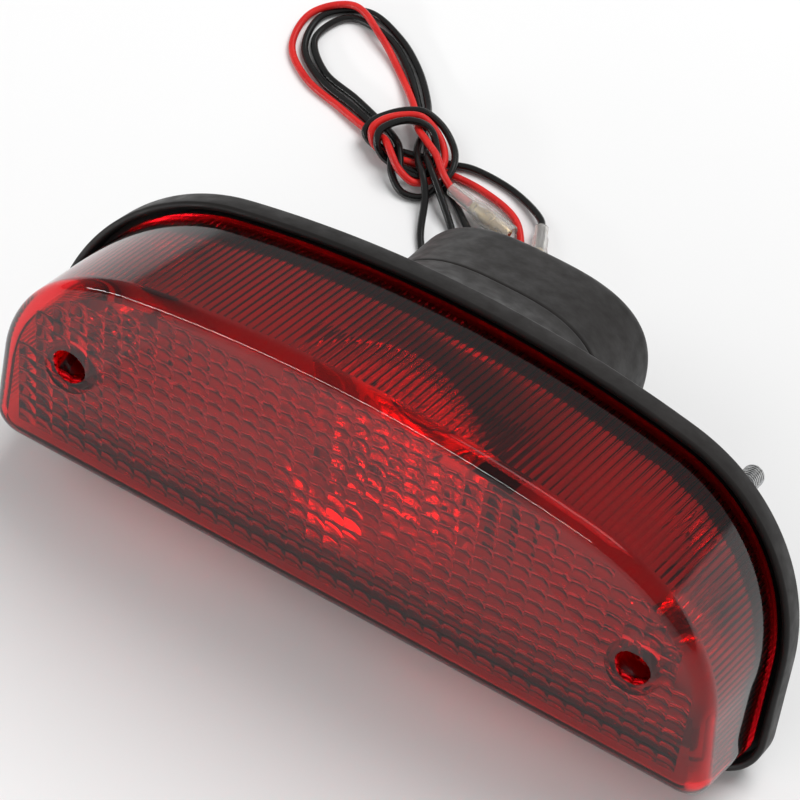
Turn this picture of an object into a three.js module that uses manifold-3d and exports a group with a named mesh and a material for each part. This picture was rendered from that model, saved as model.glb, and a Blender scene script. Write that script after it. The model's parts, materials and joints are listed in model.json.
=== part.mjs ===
// Motorcycle tail light: half-moon red lens on a black tray, with a bayonet bulb, a rubber gasket whose
// boot covers the bulb holder, two mounting studs and three free leads.
//
// Two frames, both in millimetres. The lamp frame has X to the right, Y to the rear along the bulb axis
// and Z up in the mounting plane, with Z = 0 at the lens's bottom edge. The world frame has +Z up: the
// lamp leans back in it, resting on the gasket's lower edge and on the boot.
import * as THREE from 'three';
import { mergeVertices } from 'three/addons/utils/BufferGeometryUtils.js';
import Module from 'manifold-3d';

const wasm = await Module();
wasm.setup();

// ---- driving dimensions -------------------------------------------------------------------------
const LEAN = THREE.MathUtils.degToRad(27); // lamp leans back by this much
const GAP = 0.3; // clearance that touching pieces keep
const ROUND = 24; // facets round a bore or a shaft

// half-moon outline of the lens, at its base
const HALF_WIDTH = 105.8; // where the shoulder would meet an upright side
const HEIGHT = 82.2;
const CROWN_R = 340;
const SHOULDER_R = 50.8;
const CORNER_R = 8.9;
const SIDE_LEAN = THREE.MathUtils.degToRad(6.2);

const LENS = { wall: 2.2, draft: 1.2, rim: 5, base: -1.2, depthBottom: 27.2, depthTop: 58 };
const SCREW = { x: 82, z: 38.6, bore: 4.9, boss: 7, bossEnd: -12.9, floor: -28, shank: 2.5, tip: 0.3 };
const STUD = { x: 77.4, z: 60.1, r: 3, flats: 8, boss: 6.5, headFront: -6, headBack: -2, tip: 30, chamfer: 0.9 };
const TRAY = { front: 0.3, back: 3, spigot: 3.1, spigotWall: 2, spigotFront: -11, pillar: 5.5 };
const WINDOW = { x: 22, wide: 16, tall: 24 }; // two openings in the tray's floor, behind the dish
const GASKET = { out: 3.7, lip: 1.6, lipFront: -2.8, front: 3.3, back: 5.3, round: 1.3 };
const BOOT = { wall: 2.5, power: 2.9, back: 57.5, rim: 5, exitX: -9, exitZ: 35, nozzle: 9 };
const BULB = { z: 47, capR: 7.5, capFront: -5, capBack: 14, glassR: 12.8, tip: -38, pin: 1, pinReach: 8.5 };
const SOCKET = { inner: 7.8, outer: 8.8, front: -4.4, back: 30, hub: 11.6, hubFront: -6, hubBack: 10 };
const DISH = { inner: 9.6, rim: 29, back: -6.3, front: -23, wall: 1.2 };
const PLATE = { r: 7.3, front: 15.6, back: 18, travel: 2.5, pip: 1.4 };
const WIRE_R = 0.9;

// ---- materials ----------------------------------------------------------------------------------
function material(color, roughness, metalness = 0, opacity = 1) {
  return new THREE.MeshStandardMaterial({ color, roughness, metalness, opacity, transparent: opacity < 1 });
}
const RED_LENS = () => material(0xa01418, 0.15, 0, 0.8);
const BLACK_PLASTIC = () => material(0x141414, 0.45);
const RUBBER = () => material(0x3d3a38, 0.75);
const ZINC = () => material(0xb9bcbe, 0.3, 1);
const BRASS = () => material(0xc9a24a, 0.35, 1);
const MIRROR = () => material(0xe6e6e6, 0.12, 1);
const GLASS = () => material(0xf4f7f7, 0.05, 0, 0.35);
const SLEEVE = () => material(0xe2ddd2, 0.4, 0, 0.6);
const RED_PVC = () => material(0xd01f1f, 0.4);
const BLACK_PVC = () => material(0x161616, 0.4);

// ---- solids -------------------------------------------------------------------------------------
function toSolid(geometry) {
  const bare = geometry.clone();
  bare.deleteAttribute('normal');
  bare.deleteAttribute('uv');
  const merged = mergeVertices(bare, 1e-4);
  return new wasm.Manifold(new wasm.Mesh({
    numProp: 3,
    vertProperties: new Float32Array(merged.attributes.position.array),
    triVerts: new Uint32Array(merged.index.array),
  }));
}

function toGeometry(solid) {
  const mesh = solid.getMesh();
  const geometry = new THREE.BufferGeometry();
  geometry.setAttribute('position', new THREE.BufferAttribute(mesh.vertProperties, 3));
  geometry.setIndex(new THREE.BufferAttribute(mesh.triVerts, 1));
  return geometry;
}

const joined = (first, ...rest) => rest.reduce((sum, piece) => sum.add(piece), first);
const cutBy = (first, ...rest) => rest.reduce((left, piece) => left.subtract(piece), first);

// Solid between rings of equal point count; every ring is a list of Vector3 that runs the same way round.
function loft(rings) {
  const count = rings[0].length;
  const position = rings.flat().flatMap((p) => [p.x, p.y, p.z]);
  const index = [];
  for (let k = 0; k + 1 < rings.length; k += 1) {
    for (let i = 0; i < count; i += 1) {
      const j = (i + 1) % count;
      const a = k * count;
      const b = a + count;
      index.push(a + i, a + j, b + j, a + i, b + j, b + i);
    }
  }
  const flat = rings[0].map((p) => new THREE.Vector2(p.x, p.z));
  const last = (rings.length - 1) * count;
  for (const [p, q, r] of THREE.ShapeUtils.triangulateShape(flat, [])) {
    index.push(r, q, p, last + p, last + q, last + r);
  }
  const geometry = new THREE.BufferGeometry();
  geometry.setAttribute('position', new THREE.Float32BufferAttribute(position, 3));
  geometry.setIndex(index);
  return geometry;
}

// Cylinder along Y between two depths; a second radius makes it a cone.
function rod(x, z, radius, y0, y1, frontRadius = radius, facets = ROUND) {
  const geometry = new THREE.CylinderGeometry(radius, frontRadius, y1 - y0, facets);
  return toSolid(geometry.translate(x, (y0 + y1) / 2, z));
}

// Body of revolution about the line (x, z) along Y; the profile lists [radius, y].
function turned(profile, x, z, facets = ROUND) {
  const geometry = new THREE.LatheGeometry(profile.map(([r, y]) => new THREE.Vector2(r, y)), facets);
  return toSolid(geometry.translate(x, 0, z));
}

function ring(x, z, inner, outer, y0, y1, facets = ROUND) {
  return turned([[inner, y0], [outer, y0], [outer, y1], [inner, y1], [inner, y0]], x, z, facets);
}

// ---- outlines -----------------------------------------------------------------------------------
const SHOULDER = new THREE.Vector2(HALF_WIDTH - SHOULDER_R, 0);
SHOULDER.y = HEIGHT - CROWN_R + Math.sqrt((CROWN_R - SHOULDER_R) ** 2 - SHOULDER.x ** 2);
const CORNER = new THREE.Vector2(
  SHOULDER.x + (Math.sin(SIDE_LEAN) * (SHOULDER.y - CORNER_R) + SHOULDER_R - CORNER_R) / Math.cos(SIDE_LEAN),
  CORNER_R,
);

function arc(centreX, centreY, radius, from, to, steps) {
  return Array.from({ length: steps + 1 }, (_, i) => {
    const angle = from + ((to - from) * i) / steps;
    return new THREE.Vector2(centreX + radius * Math.cos(angle), centreY + radius * Math.sin(angle));
  });
}

// Half-moon outline, moved inwards by inset (outwards when negative), anticlockwise from lower right.
function halfMoon(inset) {
  const crownStart = Math.atan2(SHOULDER.y - HEIGHT + CROWN_R, SHOULDER.x);
  const right = [
    ...arc(CORNER.x, CORNER.y, Math.max(CORNER_R - inset, 0.2), -Math.PI / 2, SIDE_LEAN, 6),
    ...arc(SHOULDER.x, SHOULDER.y, SHOULDER_R - inset, SIDE_LEAN, crownStart, 9),
    ...arc(0, HEIGHT - CROWN_R, CROWN_R - inset, crownStart, Math.PI / 2, 7).slice(1),
  ];
  const left = right.slice(0, -1).reverse().map((p) => new THREE.Vector2(-p.x, p.y));
  return [...right, ...left];
}

// Ring of the outline at a depth, or at a depth that depends on the height.
function ringAt(points, depth) {
  const at = typeof depth === 'function' ? depth : () => depth;
  return points.map((p) => new THREE.Vector3(p.x, at(p.y), p.y));
}

// Prism of an outline between two depths. Rings run front to back.
const prism = (points, y0, y1) => toSolid(loft([ringAt(points, y1), ringAt(points, y0)]));

// ---- lens ---------------------------------------------------------------------------------------
const facePlane = (z) => -(LENS.depthBottom + ((LENS.depthTop - LENS.depthBottom) * z) / HEIGHT);

function lensBody(inset, rim, backDepth, faceOffset) {
  const rings = [ringAt(halfMoon(inset), backDepth)];
  const steps = 4;
  for (let i = 0; i <= steps; i += 1) {
    const turn = (i / steps) * (Math.PI / 2);
    const ringInset = inset + LENS.draft + rim * (1 - Math.cos(turn));
    rings.push(ringAt(halfMoon(ringInset), (z) => facePlane(z) + faceOffset + rim * (1 - Math.sin(turn))));
  }
  return toSolid(loft(rings));
}

function lens() {
  const outside = lensBody(0, LENS.rim, LENS.base, 0);
  const inside = lensBody(LENS.wall, LENS.rim - LENS.wall, LENS.base + 1, LENS.wall);
  const bosses = [];
  const bores = [];
  for (const side of [-1, 1]) {
    bosses.push(rod(side * SCREW.x, SCREW.z, SCREW.boss, -50, SCREW.bossEnd).intersect(outside));
    bores.push(rod(side * SCREW.x, SCREW.z, SCREW.bore, -60, SCREW.floor));
    bores.push(rod(side * SCREW.x, SCREW.z, SCREW.shank + 0.5, -60, 0));
  }
  return cutBy(joined(cutBy(outside, inside), ...bosses), ...bores);
}

function lensSeal() {
  const y0 = LENS.base + GAP;
  return cutBy(prism(halfMoon(0.3), y0, 0), prism(halfMoon(1.9), y0 - 1, 1));
}

function lensScrew(side) {
  const head = SCREW.floor - 1.8;
  const profile = [[0, head - 3.4], [2.6, head - 3.1], [4.2, head - 1.9], [4.5, head - 0.6], [4.5, head],
    [SCREW.shank, head], [SCREW.shank, SCREW.tip - 0.6], [SCREW.shank - 0.6, SCREW.tip], [0, SCREW.tip]];
  const screw = turned(profile, side * SCREW.x, SCREW.z);
  const slots = [];
  for (const turn of [0, Math.PI / 2]) {
    const box = new THREE.BoxGeometry(5.2, 3.6, 1.1).rotateY(turn + Math.PI / 4);
    slots.push(toSolid(box.translate(side * SCREW.x, head - 3.4, SCREW.z)));
  }
  return cutBy(screw, ...slots);
}

const screwSeal = (side) => ring(side * SCREW.x, SCREW.z, 2.9, 4.4, SCREW.floor - 1.5, SCREW.floor - GAP, 32);

// ---- tray, gasket and studs -----------------------------------------------------------------------
function hexagon(flats, y0, y1, x, z) {
  const geometry = new THREE.CylinderGeometry(1, 1, y1 - y0, 6).scale(flats / Math.sqrt(3), 1, flats / Math.sqrt(3));
  return toSolid(geometry.translate(x, (y0 + y1) / 2, z));
}

function housing() {
  const spigot = cutBy(
    prism(halfMoon(TRAY.spigot), TRAY.spigotFront, 1),
    prism(halfMoon(TRAY.spigot + TRAY.spigotWall), TRAY.spigotFront - 1, 1.5),
  );
  let body = joined(prism(halfMoon(0.6), TRAY.front, TRAY.back), spigot,
    rod(0, BULB.z, SOCKET.hub, SOCKET.hubFront, SOCKET.hubBack));
  const holes = [rod(0, BULB.z, SOCKET.outer + GAP, -20, 20)];
  for (const side of [-1, 1]) {
    body = joined(body, rod(side * SCREW.x, SCREW.z, TRAY.pillar, SCREW.bossEnd + 0.4, 1),
      rod(side * STUD.x, STUD.z, STUD.boss, STUD.headFront, 1));
    holes.push(rod(side * SCREW.x, SCREW.z, SCREW.shank + GAP, SCREW.bossEnd - 1, SCREW.tip + 0.9));
    holes.push(hexagon(STUD.flats + 0.7, -20, STUD.headBack + GAP, side * STUD.x, STUD.z));
    holes.push(rod(side * STUD.x, STUD.z, STUD.r + GAP, -20, 20));
    const window = new THREE.BoxGeometry(WINDOW.wide, 2 * TRAY.back, WINDOW.tall);
    holes.push(toSolid(window.translate(side * WINDOW.x, TRAY.back / 2, BULB.z)));
  }
  return cutBy(body, ...holes);
}

function stud(side) {
  const { r, chamfer, headBack, tip } = STUD;
  const shank = turned([[0, headBack - 1], [r, headBack - 1], [r, tip - chamfer], [r - chamfer, tip], [0, tip]],
    side * STUD.x, STUD.z, 32);
  return shank.add(hexagon(STUD.flats, STUD.headFront, headBack, side * STUD.x, STUD.z));
}

// Section of the boot at a depth: a superellipse whose half width, top and bottom follow the boot's flare.
function bootSection(halfWidth, top, bottom, shrink) {
  const points = [];
  const steps = 40;
  for (let i = 0; i < steps; i += 1) {
    const angle = (i / steps) * 2 * Math.PI;
    const bend = (value) => Math.sign(value) * Math.abs(value) ** (2 / BOOT.power);
    points.push(new THREE.Vector2(
      (halfWidth - shrink) * bend(Math.cos(angle)),
      (top + bottom) / 2 + ((top - bottom) / 2 - shrink) * bend(Math.sin(angle)),
    ));
  }
  return points;
}

// Outer surface of the boot, or its inner surface when shrunk by the wall; it flares into the gasket.
function bootBody(shrink) {
  const stations = [[GASKET.front, 42, 85, 6], [GASKET.back, 41, 84.6, 6.5], [13, 36.5, 80.6, 11], [24, 34.8, 78.8, 14],
    [BOOT.back - BOOT.rim, 36, 77.3, 21.6]];
  const rings = stations.map(([y, half, top, bottom]) => ringAt(bootSection(half, top, bottom, shrink), y));
  const [, half, top, bottom] = stations[stations.length - 1];
  const steps = 4;
  for (let i = 1; i <= steps; i += 1) {
    const turn = (i / steps) * (Math.PI / 2);
    const section = bootSection(half, top, bottom, shrink + BOOT.rim * (1 - Math.cos(turn)));
    rings.push(ringAt(section, BOOT.back - BOOT.rim + (BOOT.rim - shrink) * Math.sin(turn)));
  }
  return toSolid(loft(rings.reverse()));
}

function rubberBoot() {
  const { out, lip, lipFront, back, round } = GASKET;
  const edge = [[out - 0.6, back], [out, back - round], [out, lipFront + round], [out - 0.9, lipFront]];
  const outside = toSolid(loft(edge.map(([offset, y]) => ringAt(halfMoon(-offset), y))));
  const tray = cutBy(outside, prism(halfMoon(-lip), lipFront - 1, GASKET.front));
  const nozzle = rod(BOOT.exitX, BOOT.exitZ, 5.2, BOOT.back - 2, BOOT.back + BOOT.nozzle, 7.4);
  const holes = [bootBody(BOOT.wall), rod(BOOT.exitX, BOOT.exitZ, 3.8, BOOT.back - 6, BOOT.back + BOOT.nozzle + 1),
    prism(bootSection(41, 84.6, 6.5, BOOT.wall), GASKET.front - 2, GASKET.back)];
  for (const side of [-1, 1]) {
    holes.push(rod(side * STUD.x, STUD.z, STUD.r + GAP, -5, 10));
  }
  return cutBy(joined(tray, bootBody(0), nozzle), ...holes);
}

// ---- bulb and bulb holder -------------------------------------------------------------------------
function reflector() {
  const front = [];
  const steps = 6;
  for (let i = 0; i <= steps; i += 1) {
    const r = DISH.inner + 4 + ((DISH.rim - DISH.inner - 4) * i) / steps;
    front.push([r, DISH.back - DISH.wall - (DISH.back - DISH.wall - DISH.front) * (i / steps) ** 2]);
  }
  const back = front.map(([r, y]) => [r + 0.5, y + DISH.wall]).reverse();
  back[back.length - 1] = [DISH.inner + 4, DISH.back];
  const profile = [[DISH.inner, DISH.back - DISH.wall], ...front, ...back, [DISH.inner, DISH.back]];
  return turned([...profile, profile[0]], 0, BULB.z);
}

function socketShell() {
  const shell = ring(0, BULB.z, SOCKET.inner, SOCKET.outer, SOCKET.front, SOCKET.back);
  const windows = [];
  for (const [turn, depth] of [[0, 0], [Math.PI, 3]]) {
    const y = BULB.capBack - 7.3 - depth;
    const window = new THREE.BoxGeometry(3, 3 + PLATE.travel + 0.6, 6.4).translate(SOCKET.inner + 0.6, PLATE.travel / 2, -1.6);
    const entry = new THREE.BoxGeometry(3, 30, 2.8).translate(SOCKET.inner + 0.6, -15, -3.3);
    for (const box of [window, entry]) {
      windows.push(toSolid(box.rotateY(turn).translate(0, y, BULB.z)));
    }
  }
  return cutBy(shell, ...windows);
}

const socketEnd = () => ring(0, BULB.z, 3.6, SOCKET.inner - GAP, SOCKET.back - 3, SOCKET.back, 32);

function contactPlate() {
  const plate = turned([[0, PLATE.front], [PLATE.r, PLATE.front], [PLATE.r, PLATE.back], [0, PLATE.back]], 0, BULB.z);
  return cutBy(plate, ...[-1, 1].map((side) => rod(side * 3, BULB.z, PLATE.pip + GAP, 10, 25, undefined, 24)));
}

const contactPip = (side) => rod(side * 3, BULB.z, PLATE.pip, PLATE.front - 0.6, PLATE.back + 0.6, undefined, 24);

class Helix extends THREE.Curve {
  constructor(radius, y0, y1, turns) {
    super();
    Object.assign(this, { radius, y0, y1, turns });
  }

  getPoint(t, target = new THREE.Vector3()) {
    const angle = t * this.turns * 2 * Math.PI;
    const y = this.y0 + (this.y1 - this.y0) * t;
    return target.set(this.radius * Math.cos(angle), y, BULB.z + this.radius * Math.sin(angle));
  }
}

function swept(path, radius, steps, sides = 8) {
  const section = new THREE.Shape(arc(0, 0, radius, 0, 2 * Math.PI, sides).slice(0, -1));
  return toSolid(new THREE.ExtrudeGeometry(section, { steps, bevelEnabled: false, extrudePath: path }));
}

const contactSpring = () => swept(new Helix(5.9, PLATE.back + 0.9, SOCKET.back - 3.9, 3.5), 0.5, 48, 6);

function bulbCap() {
  const { z, capR, capFront, capBack, pin, pinReach } = BULB;
  const profile = [[0, capFront], [capR, capFront], [capR, capBack - 2.5], [capR - 1.2, capBack - 1], [0, capBack - 1]];
  const pins = [[0, 0], [Math.PI, 3]].map(([turn, depth]) => {
    const shape = new THREE.CylinderGeometry(pin, pin, pinReach, 16).rotateZ(-Math.PI / 2);
    return toSolid(shape.translate(pinReach / 2, 0, 0).rotateY(turn).translate(0, capBack - 7.3 - depth, z));
  });
  return joined(turned(profile, 0, z), ...pins);
}

const bulbContact = (side) => turned(
  [[0, BULB.capBack - 1 + GAP], [1.6, BULB.capBack - 1 + GAP], [1.3, BULB.capBack + 0.3], [0, BULB.capBack + 0.6]],
  side * 3, BULB.z, 24,
);

// Glass envelope, open at its neck: the outer surface from the neck to the tip, then the inner one back.
function bulbGlass() {
  const centre = BULB.tip + BULB.glassR;
  const neck = 6.8;
  const surface = (shrink, from) => {
    const profile = [[neck - shrink, from], [neck - shrink, BULB.capFront - 3]];
    const steps = 8;
    for (let i = 0; i <= steps; i += 1) {
      const angle = THREE.MathUtils.lerp(0.75, -Math.PI / 2, i / steps);
      const r = (BULB.glassR - shrink) * Math.cos(angle);
      profile.push([i === steps ? 0 : r, centre + (BULB.glassR - shrink) * Math.sin(angle)]);
    }
    return profile;
  };
  const outer = turned([[0, BULB.capFront - GAP], ...surface(0, BULB.capFront - GAP)].reverse(), 0, BULB.z);
  const inner = turned([[0, BULB.capFront + 1], ...surface(0.8, BULB.capFront + 1)].reverse(), 0, BULB.z);
  return cutBy(outer, inner);
}

const bulbStem = () => turned(
  [[0, BULB.capFront - 13], [2.6, BULB.capFront - 12.4], [2.6, BULB.capFront - 10.5], [2, BULB.capFront - 8],
    [4.6, BULB.capFront - GAP], [0, BULB.capFront - GAP]], 0, BULB.z, 24,
);

// One filament on its two support wires, as a hoop that stands on the glass stem.
function filament(x, halfSpan, y) {
  const foot = BULB.capFront - 13.6;
  const hoop = new THREE.CatmullRomCurve3([
    new THREE.Vector3(x, foot, BULB.z - 1.2), new THREE.Vector3(x, y + 4, BULB.z - halfSpan),
    new THREE.Vector3(x, y, BULB.z - halfSpan), new THREE.Vector3(x, y - 0.6, BULB.z),
    new THREE.Vector3(x, y, BULB.z + halfSpan), new THREE.Vector3(x, y + 4, BULB.z + halfSpan),
    new THREE.Vector3(x, foot, BULB.z + 1.2),
  ]);
  return swept(hoop, 0.3, 18, 6);
}

// ---- leads --------------------------------------------------------------------------------------
// Free leads, as points on their centrelines in the world frame: from the boot's nozzle along the
// surface, through the round-turn knot, round the loop and back to a bullet connector in its sleeve.
const LEADS = {
  red: { look: RED_PVC, slot: [0, 1.4], sleeve: [[-51, 88, 5.2], [-28.5, 83.6, 3.5]], route: [
    [-9, 45, 7.6], [-9.2, 48.6, 5.9], [-9.6, 52.3, 4.6], [-10.2, 56.1, 3.9], [-17.7, 67.2, 1.3],
    [-23, 79.9, 1.3], [-30.9, 90.6, 1.3], [-44.2, 94.7, 1.3], [-58, 94.6, 1.3], [-63.8, 93.3, 1.3],
    [-67.7, 92.4, 1.3], [-71.6, 91.4, 1.5], [-75.4, 90.5, 2.5], [-78.6, 90.6, 4.8], [-80.5, 93.1, 7.2],
    [-79.7, 96.9, 7.5], [-76, 101.6, 7.4], [-70.8, 104.4, 7.2], [-65.3, 103.5, 5.2], [-60.6, 100.1, 3.9],
    [-57.6, 95.1, 4.1], [-57.5, 89.2, 3.8], [-61.3, 84.9, 4.1], [-66.8, 85.3, 6.2], [-70, 87.2, 7.6],
    [-73, 89.8, 7.7], [-75.9, 92.3, 6.5], [-79.2, 93.9, 4.8], [-82.5, 94.9, 2.8], [-95.6, 98.9, 1.3],
    [-109, 102.7, 1.3], [-119.6, 111.2, 1.3], [-121.3, 124.7, 1.8], [-111.1, 132, 4.1], [-98.5, 126.8, 3],
    [-87.1, 119.1, 1.4], [-76.8, 109.7, 3.4], [-73, 105.1, 4], [-69.6, 100.7, 6.3], [-64.6, 97.4, 7.2],
    [-59.5, 94.2, 7.5], [-55, 90.2, 6.8], [-50, 87.8, 5.1],
  ] },
  black_1: { look: BLACK_PVC, slot: [-1.3, -0.7], sleeve: [[-22.8, 91.2, 3.4], [-13, 70, 3.4]], route: [
    [-10.3, 44.6, 5.6], [-11, 48, 3.7], [-12, 51.5, 2.1], [-14.2, 54.8, 1.4], [-27.2, 58.7, 1.3],
    [-40.9, 60.7, 1.3], [-50.2, 70.5, 1.3], [-56.1, 82.5, 4.5], [-59.7, 86.9, 6.4], [-63.7, 91.1, 5.2],
    [-67, 96, 4], [-68.7, 101.7, 3.8], [-70.6, 107.3, 3.5], [-73.5, 112.5, 2.1], [-82.8, 122.8, 1.3],
    [-94.4, 130.6, 1.3], [-107.8, 134.1, 1.3], [-118.1, 125.9, 1.3], [-116.1, 112.6, 1.3], [-105.1, 104.4, 1.3],
    [-91.5, 100.7, 1.3], [-78.5, 95.6, 2.4], [-75.5, 93.5, 4], [-72.7, 90.7, 5], [-70.6, 87.3, 4.8],
    [-68.4, 84.4, 3.4], [-63.4, 81.8, 1.5], [-57.8, 83.2, 1.6], [-54.9, 88, 3.4], [-54.4, 93.9, 4],
    [-56.5, 99.5, 3.9], [-60.6, 103.9, 3.8], [-65.7, 106.6, 4.9], [-71.5, 107, 6.4], [-76.8, 104.4, 6.1],
    [-80.9, 100, 5.7], [-82.6, 96.4, 5.7], [-82.6, 92.6, 4.8], [-79.6, 91.8, 2.5], [-76, 92.9, 1.3],
    [-72.1, 94.2, 1.3], [-68.2, 95.2, 1.3], [-62.4, 96.7, 1.3], [-56.6, 98.2, 1.3], [-50.8, 100, 1.3],
    [-37, 99.3, 1.3], [-24.6, 93.6, 2.9], [-22.4, 90.3, 3.4],
  ] },
  black_2: { look: BLACK_PVC, slot: [1.3, -0.7], sleeve: [[-38.8, 78.6, 3.2], [-22.3, 65.2, 3.4]], route: [
    [-7.7, 44.6, 5.6], [-7.9, 47.9, 3.5], [-8.7, 51.5, 1.8], [-10.5, 54.9, 1.3], [-22.1, 61.6, 1.3],
    [-35, 66.3, 1.3], [-43.6, 77.1, 1.3], [-53.7, 85.6, 5.2], [-58.2, 89.3, 6.6], [-62.3, 93.5, 5.7],
    [-65.1, 98.2, 3.1], [-68.3, 102.8, 1.3], [-72.5, 107.1, 1.3], [-76.2, 111.7, 1.3], [-85.9, 121.7, 1.3],
    [-97.7, 128.9, 1.3], [-111.3, 129.2, 1.3], [-115.3, 117.3, 1.3], [-105.9, 107.7, 1.3], [-92.6, 104, 1.3],
    [-79.5, 99.3, 1.6], [-74.6, 96.2, 3.2], [-71.7, 93.6, 4], [-69.4, 90.4, 4.1], [-67, 87.3, 3.6],
    [-61.7, 87.9, 3.3], [-60, 93.3, 4], [-62.2, 98.5, 5.6], [-66.5, 101.5, 8.1], [-72.2, 100.2, 9],
    [-76.3, 95.9, 9], [-77.6, 92.1, 8.7], [-76.4, 89.3, 6.3], [-73.6, 88.5, 3.4], [-69.9, 89.1, 1.7],
    [-63.9, 90.2, 1.3], [-57.9, 90.4, 1.3], [-52.1, 88.8, 1.3], [-41.1, 80.5, 2.6], [-38, 78, 3.2],
  ] },
};
const CRIMP = 7.5; // how far a lead reaches into its sleeve
const STEP = 4.6; // length of one straight facet of a lead

const vector = ([x, y, z]) => new THREE.Vector3(x, y, z);

function cord(points, radius) {
  const path = new THREE.CatmullRomCurve3(points, false, 'centripetal');
  return swept(path, radius, Math.round(path.getLength() / STEP), 8);
}

function freeLead({ route, sleeve: [from, to] }) {
  const start = vector(from);
  const along = vector(to).sub(start).normalize();
  return cord([...route.map(vector), start.addScaledVector(along, CRIMP)], WIRE_R);
}

// Stretch inside the boot, in the lamp frame: from the bulb holder to the mouth of the nozzle.
function heldLead({ slot: [dx, dz] }) {
  const { exitX, exitZ, back, nozzle } = BOOT;
  return cord([[dx, 21.5, BULB.z + dz], [dx, 31, BULB.z + dz], [-4 + dx, 43, 42 + dz],
    [exitX + dx, back - 3, exitZ + dz], [exitX + dx, back + nozzle - 1, exitZ + dz]].map(vector), WIRE_R);
}

function sleeve(length) {
  return turned([[1.3, 0], [1.9, 0], [1.9, 3.5], [2.3, 4], [2.3, 8], [3.1, 12], [3.1, length],
    [2.6, length], [2.6, 12], [1.6, 8], [1.3, 7.5], [1.3, 0]], 0, 0, 16);
}

const bullet = (length) => turned([[0, CRIMP + 0.6], [1.1, CRIMP + 0.6], [1.1, 10], [1.9, 13],
  [2.1, 13.5], [2.1, length - 1.2], [1.6, length - 0.6], [0, length - 0.6]], 0, 0, 16);

// ---- assembly -----------------------------------------------------------------------------------
const lamp = new THREE.Group();
function add(parent, name, solid, look) {
  const mesh = new THREE.Mesh(toGeometry(solid), look);
  mesh.name = name;
  parent.add(mesh);
}

add(lamp, 'lens', lens(), RED_LENS());
add(lamp, 'lens_seal', lensSeal(), RUBBER());
add(lamp, 'housing', housing(), BLACK_PLASTIC());
add(lamp, 'rubber_boot', rubberBoot(), RUBBER());
for (const [name, side] of [['left', -1], ['right', 1]]) {
  add(lamp, `lens_screw_${name}`, lensScrew(side), ZINC());
  add(lamp, `screw_seal_${name}`, screwSeal(side), RUBBER());
  add(lamp, `stud_${name}`, stud(side), ZINC());
}
add(lamp, 'reflector', reflector(), MIRROR());
add(lamp, 'socket_shell', socketShell(), ZINC());
add(lamp, 'socket_end', socketEnd(), BLACK_PLASTIC());
add(lamp, 'contact_plate', contactPlate(), BLACK_PLASTIC());
add(lamp, 'contact_spring', contactSpring(), ZINC());
add(lamp, 'bulb_cap', bulbCap(), BRASS());
add(lamp, 'bulb_glass', bulbGlass(), GLASS());
add(lamp, 'bulb_stem', bulbStem(), GLASS());
add(lamp, 'filament_brake', filament(-1.6, 3.6, BULB.capFront - 22), ZINC());
add(lamp, 'filament_tail', filament(1.6, 2.8, BULB.capFront - 19), ZINC());
for (const [name, side] of [['brake', -1], ['tail', 1]]) {
  add(lamp, `contact_pip_${name}`, contactPip(side), BRASS());
  add(lamp, `bulb_contact_${name}`, bulbContact(side), BRASS());
}

for (const [name, lead] of Object.entries(LEADS)) {
  add(lamp, `lead_${name}`, heldLead(lead), lead.look());
}

// Lean the lamp back and stand it on its lowest points, centred on the origin.
lamp.rotation.x = -LEAN;
lamp.updateMatrixWorld(true);
const bounds = new THREE.Box3().setFromObject(lamp, true);
lamp.position.set(0, -(bounds.min.y + bounds.max.y) / 2, -bounds.min.z);

const tailLight = new THREE.Group();
tailLight.add(lamp);
for (const [name, lead] of Object.entries(LEADS)) {
  const [from, to] = lead.sleeve.map(vector);
  const connector = new THREE.Group();
  connector.position.copy(from);
  connector.quaternion.setFromUnitVectors(new THREE.Vector3(0, 1, 0), to.clone().sub(from).normalize());
  add(tailLight, `wire_${name}`, freeLead(lead), lead.look());
  add(connector, `sleeve_${name}`, sleeve(from.distanceTo(to)), SLEEVE());
  add(connector, `bullet_${name}`, bullet(from.distanceTo(to)), BRASS());
  tailLight.add(connector);
}

export default tailLight;
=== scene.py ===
import json
import math

import bmesh
import bpy
import numpy as np
from mathutils import Matrix, Vector


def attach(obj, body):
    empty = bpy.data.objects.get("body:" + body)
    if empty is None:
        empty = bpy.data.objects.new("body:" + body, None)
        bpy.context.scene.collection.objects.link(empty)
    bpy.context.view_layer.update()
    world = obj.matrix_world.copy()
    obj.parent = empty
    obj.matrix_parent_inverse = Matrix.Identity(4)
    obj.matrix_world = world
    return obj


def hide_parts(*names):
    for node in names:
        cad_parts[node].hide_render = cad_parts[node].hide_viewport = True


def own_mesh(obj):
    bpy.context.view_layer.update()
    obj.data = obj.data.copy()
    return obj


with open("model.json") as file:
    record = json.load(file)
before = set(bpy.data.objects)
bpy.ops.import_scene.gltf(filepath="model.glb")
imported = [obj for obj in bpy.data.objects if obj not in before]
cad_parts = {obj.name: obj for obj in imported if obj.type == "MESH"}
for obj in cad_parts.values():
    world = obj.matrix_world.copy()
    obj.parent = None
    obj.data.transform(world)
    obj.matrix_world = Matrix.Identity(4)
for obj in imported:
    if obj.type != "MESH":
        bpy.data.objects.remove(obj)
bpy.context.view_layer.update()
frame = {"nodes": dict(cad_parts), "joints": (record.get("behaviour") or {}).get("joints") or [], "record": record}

MM = 0.001
AXIS_R = 0.001  # radius that stands for a point on a turned body's axis
JOINTS = {joint["name"]: joint for joint in frame["joints"]}
MOUNTS = {mount["name"]: mount for mount in frame["record"]["mounts"]}

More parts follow.
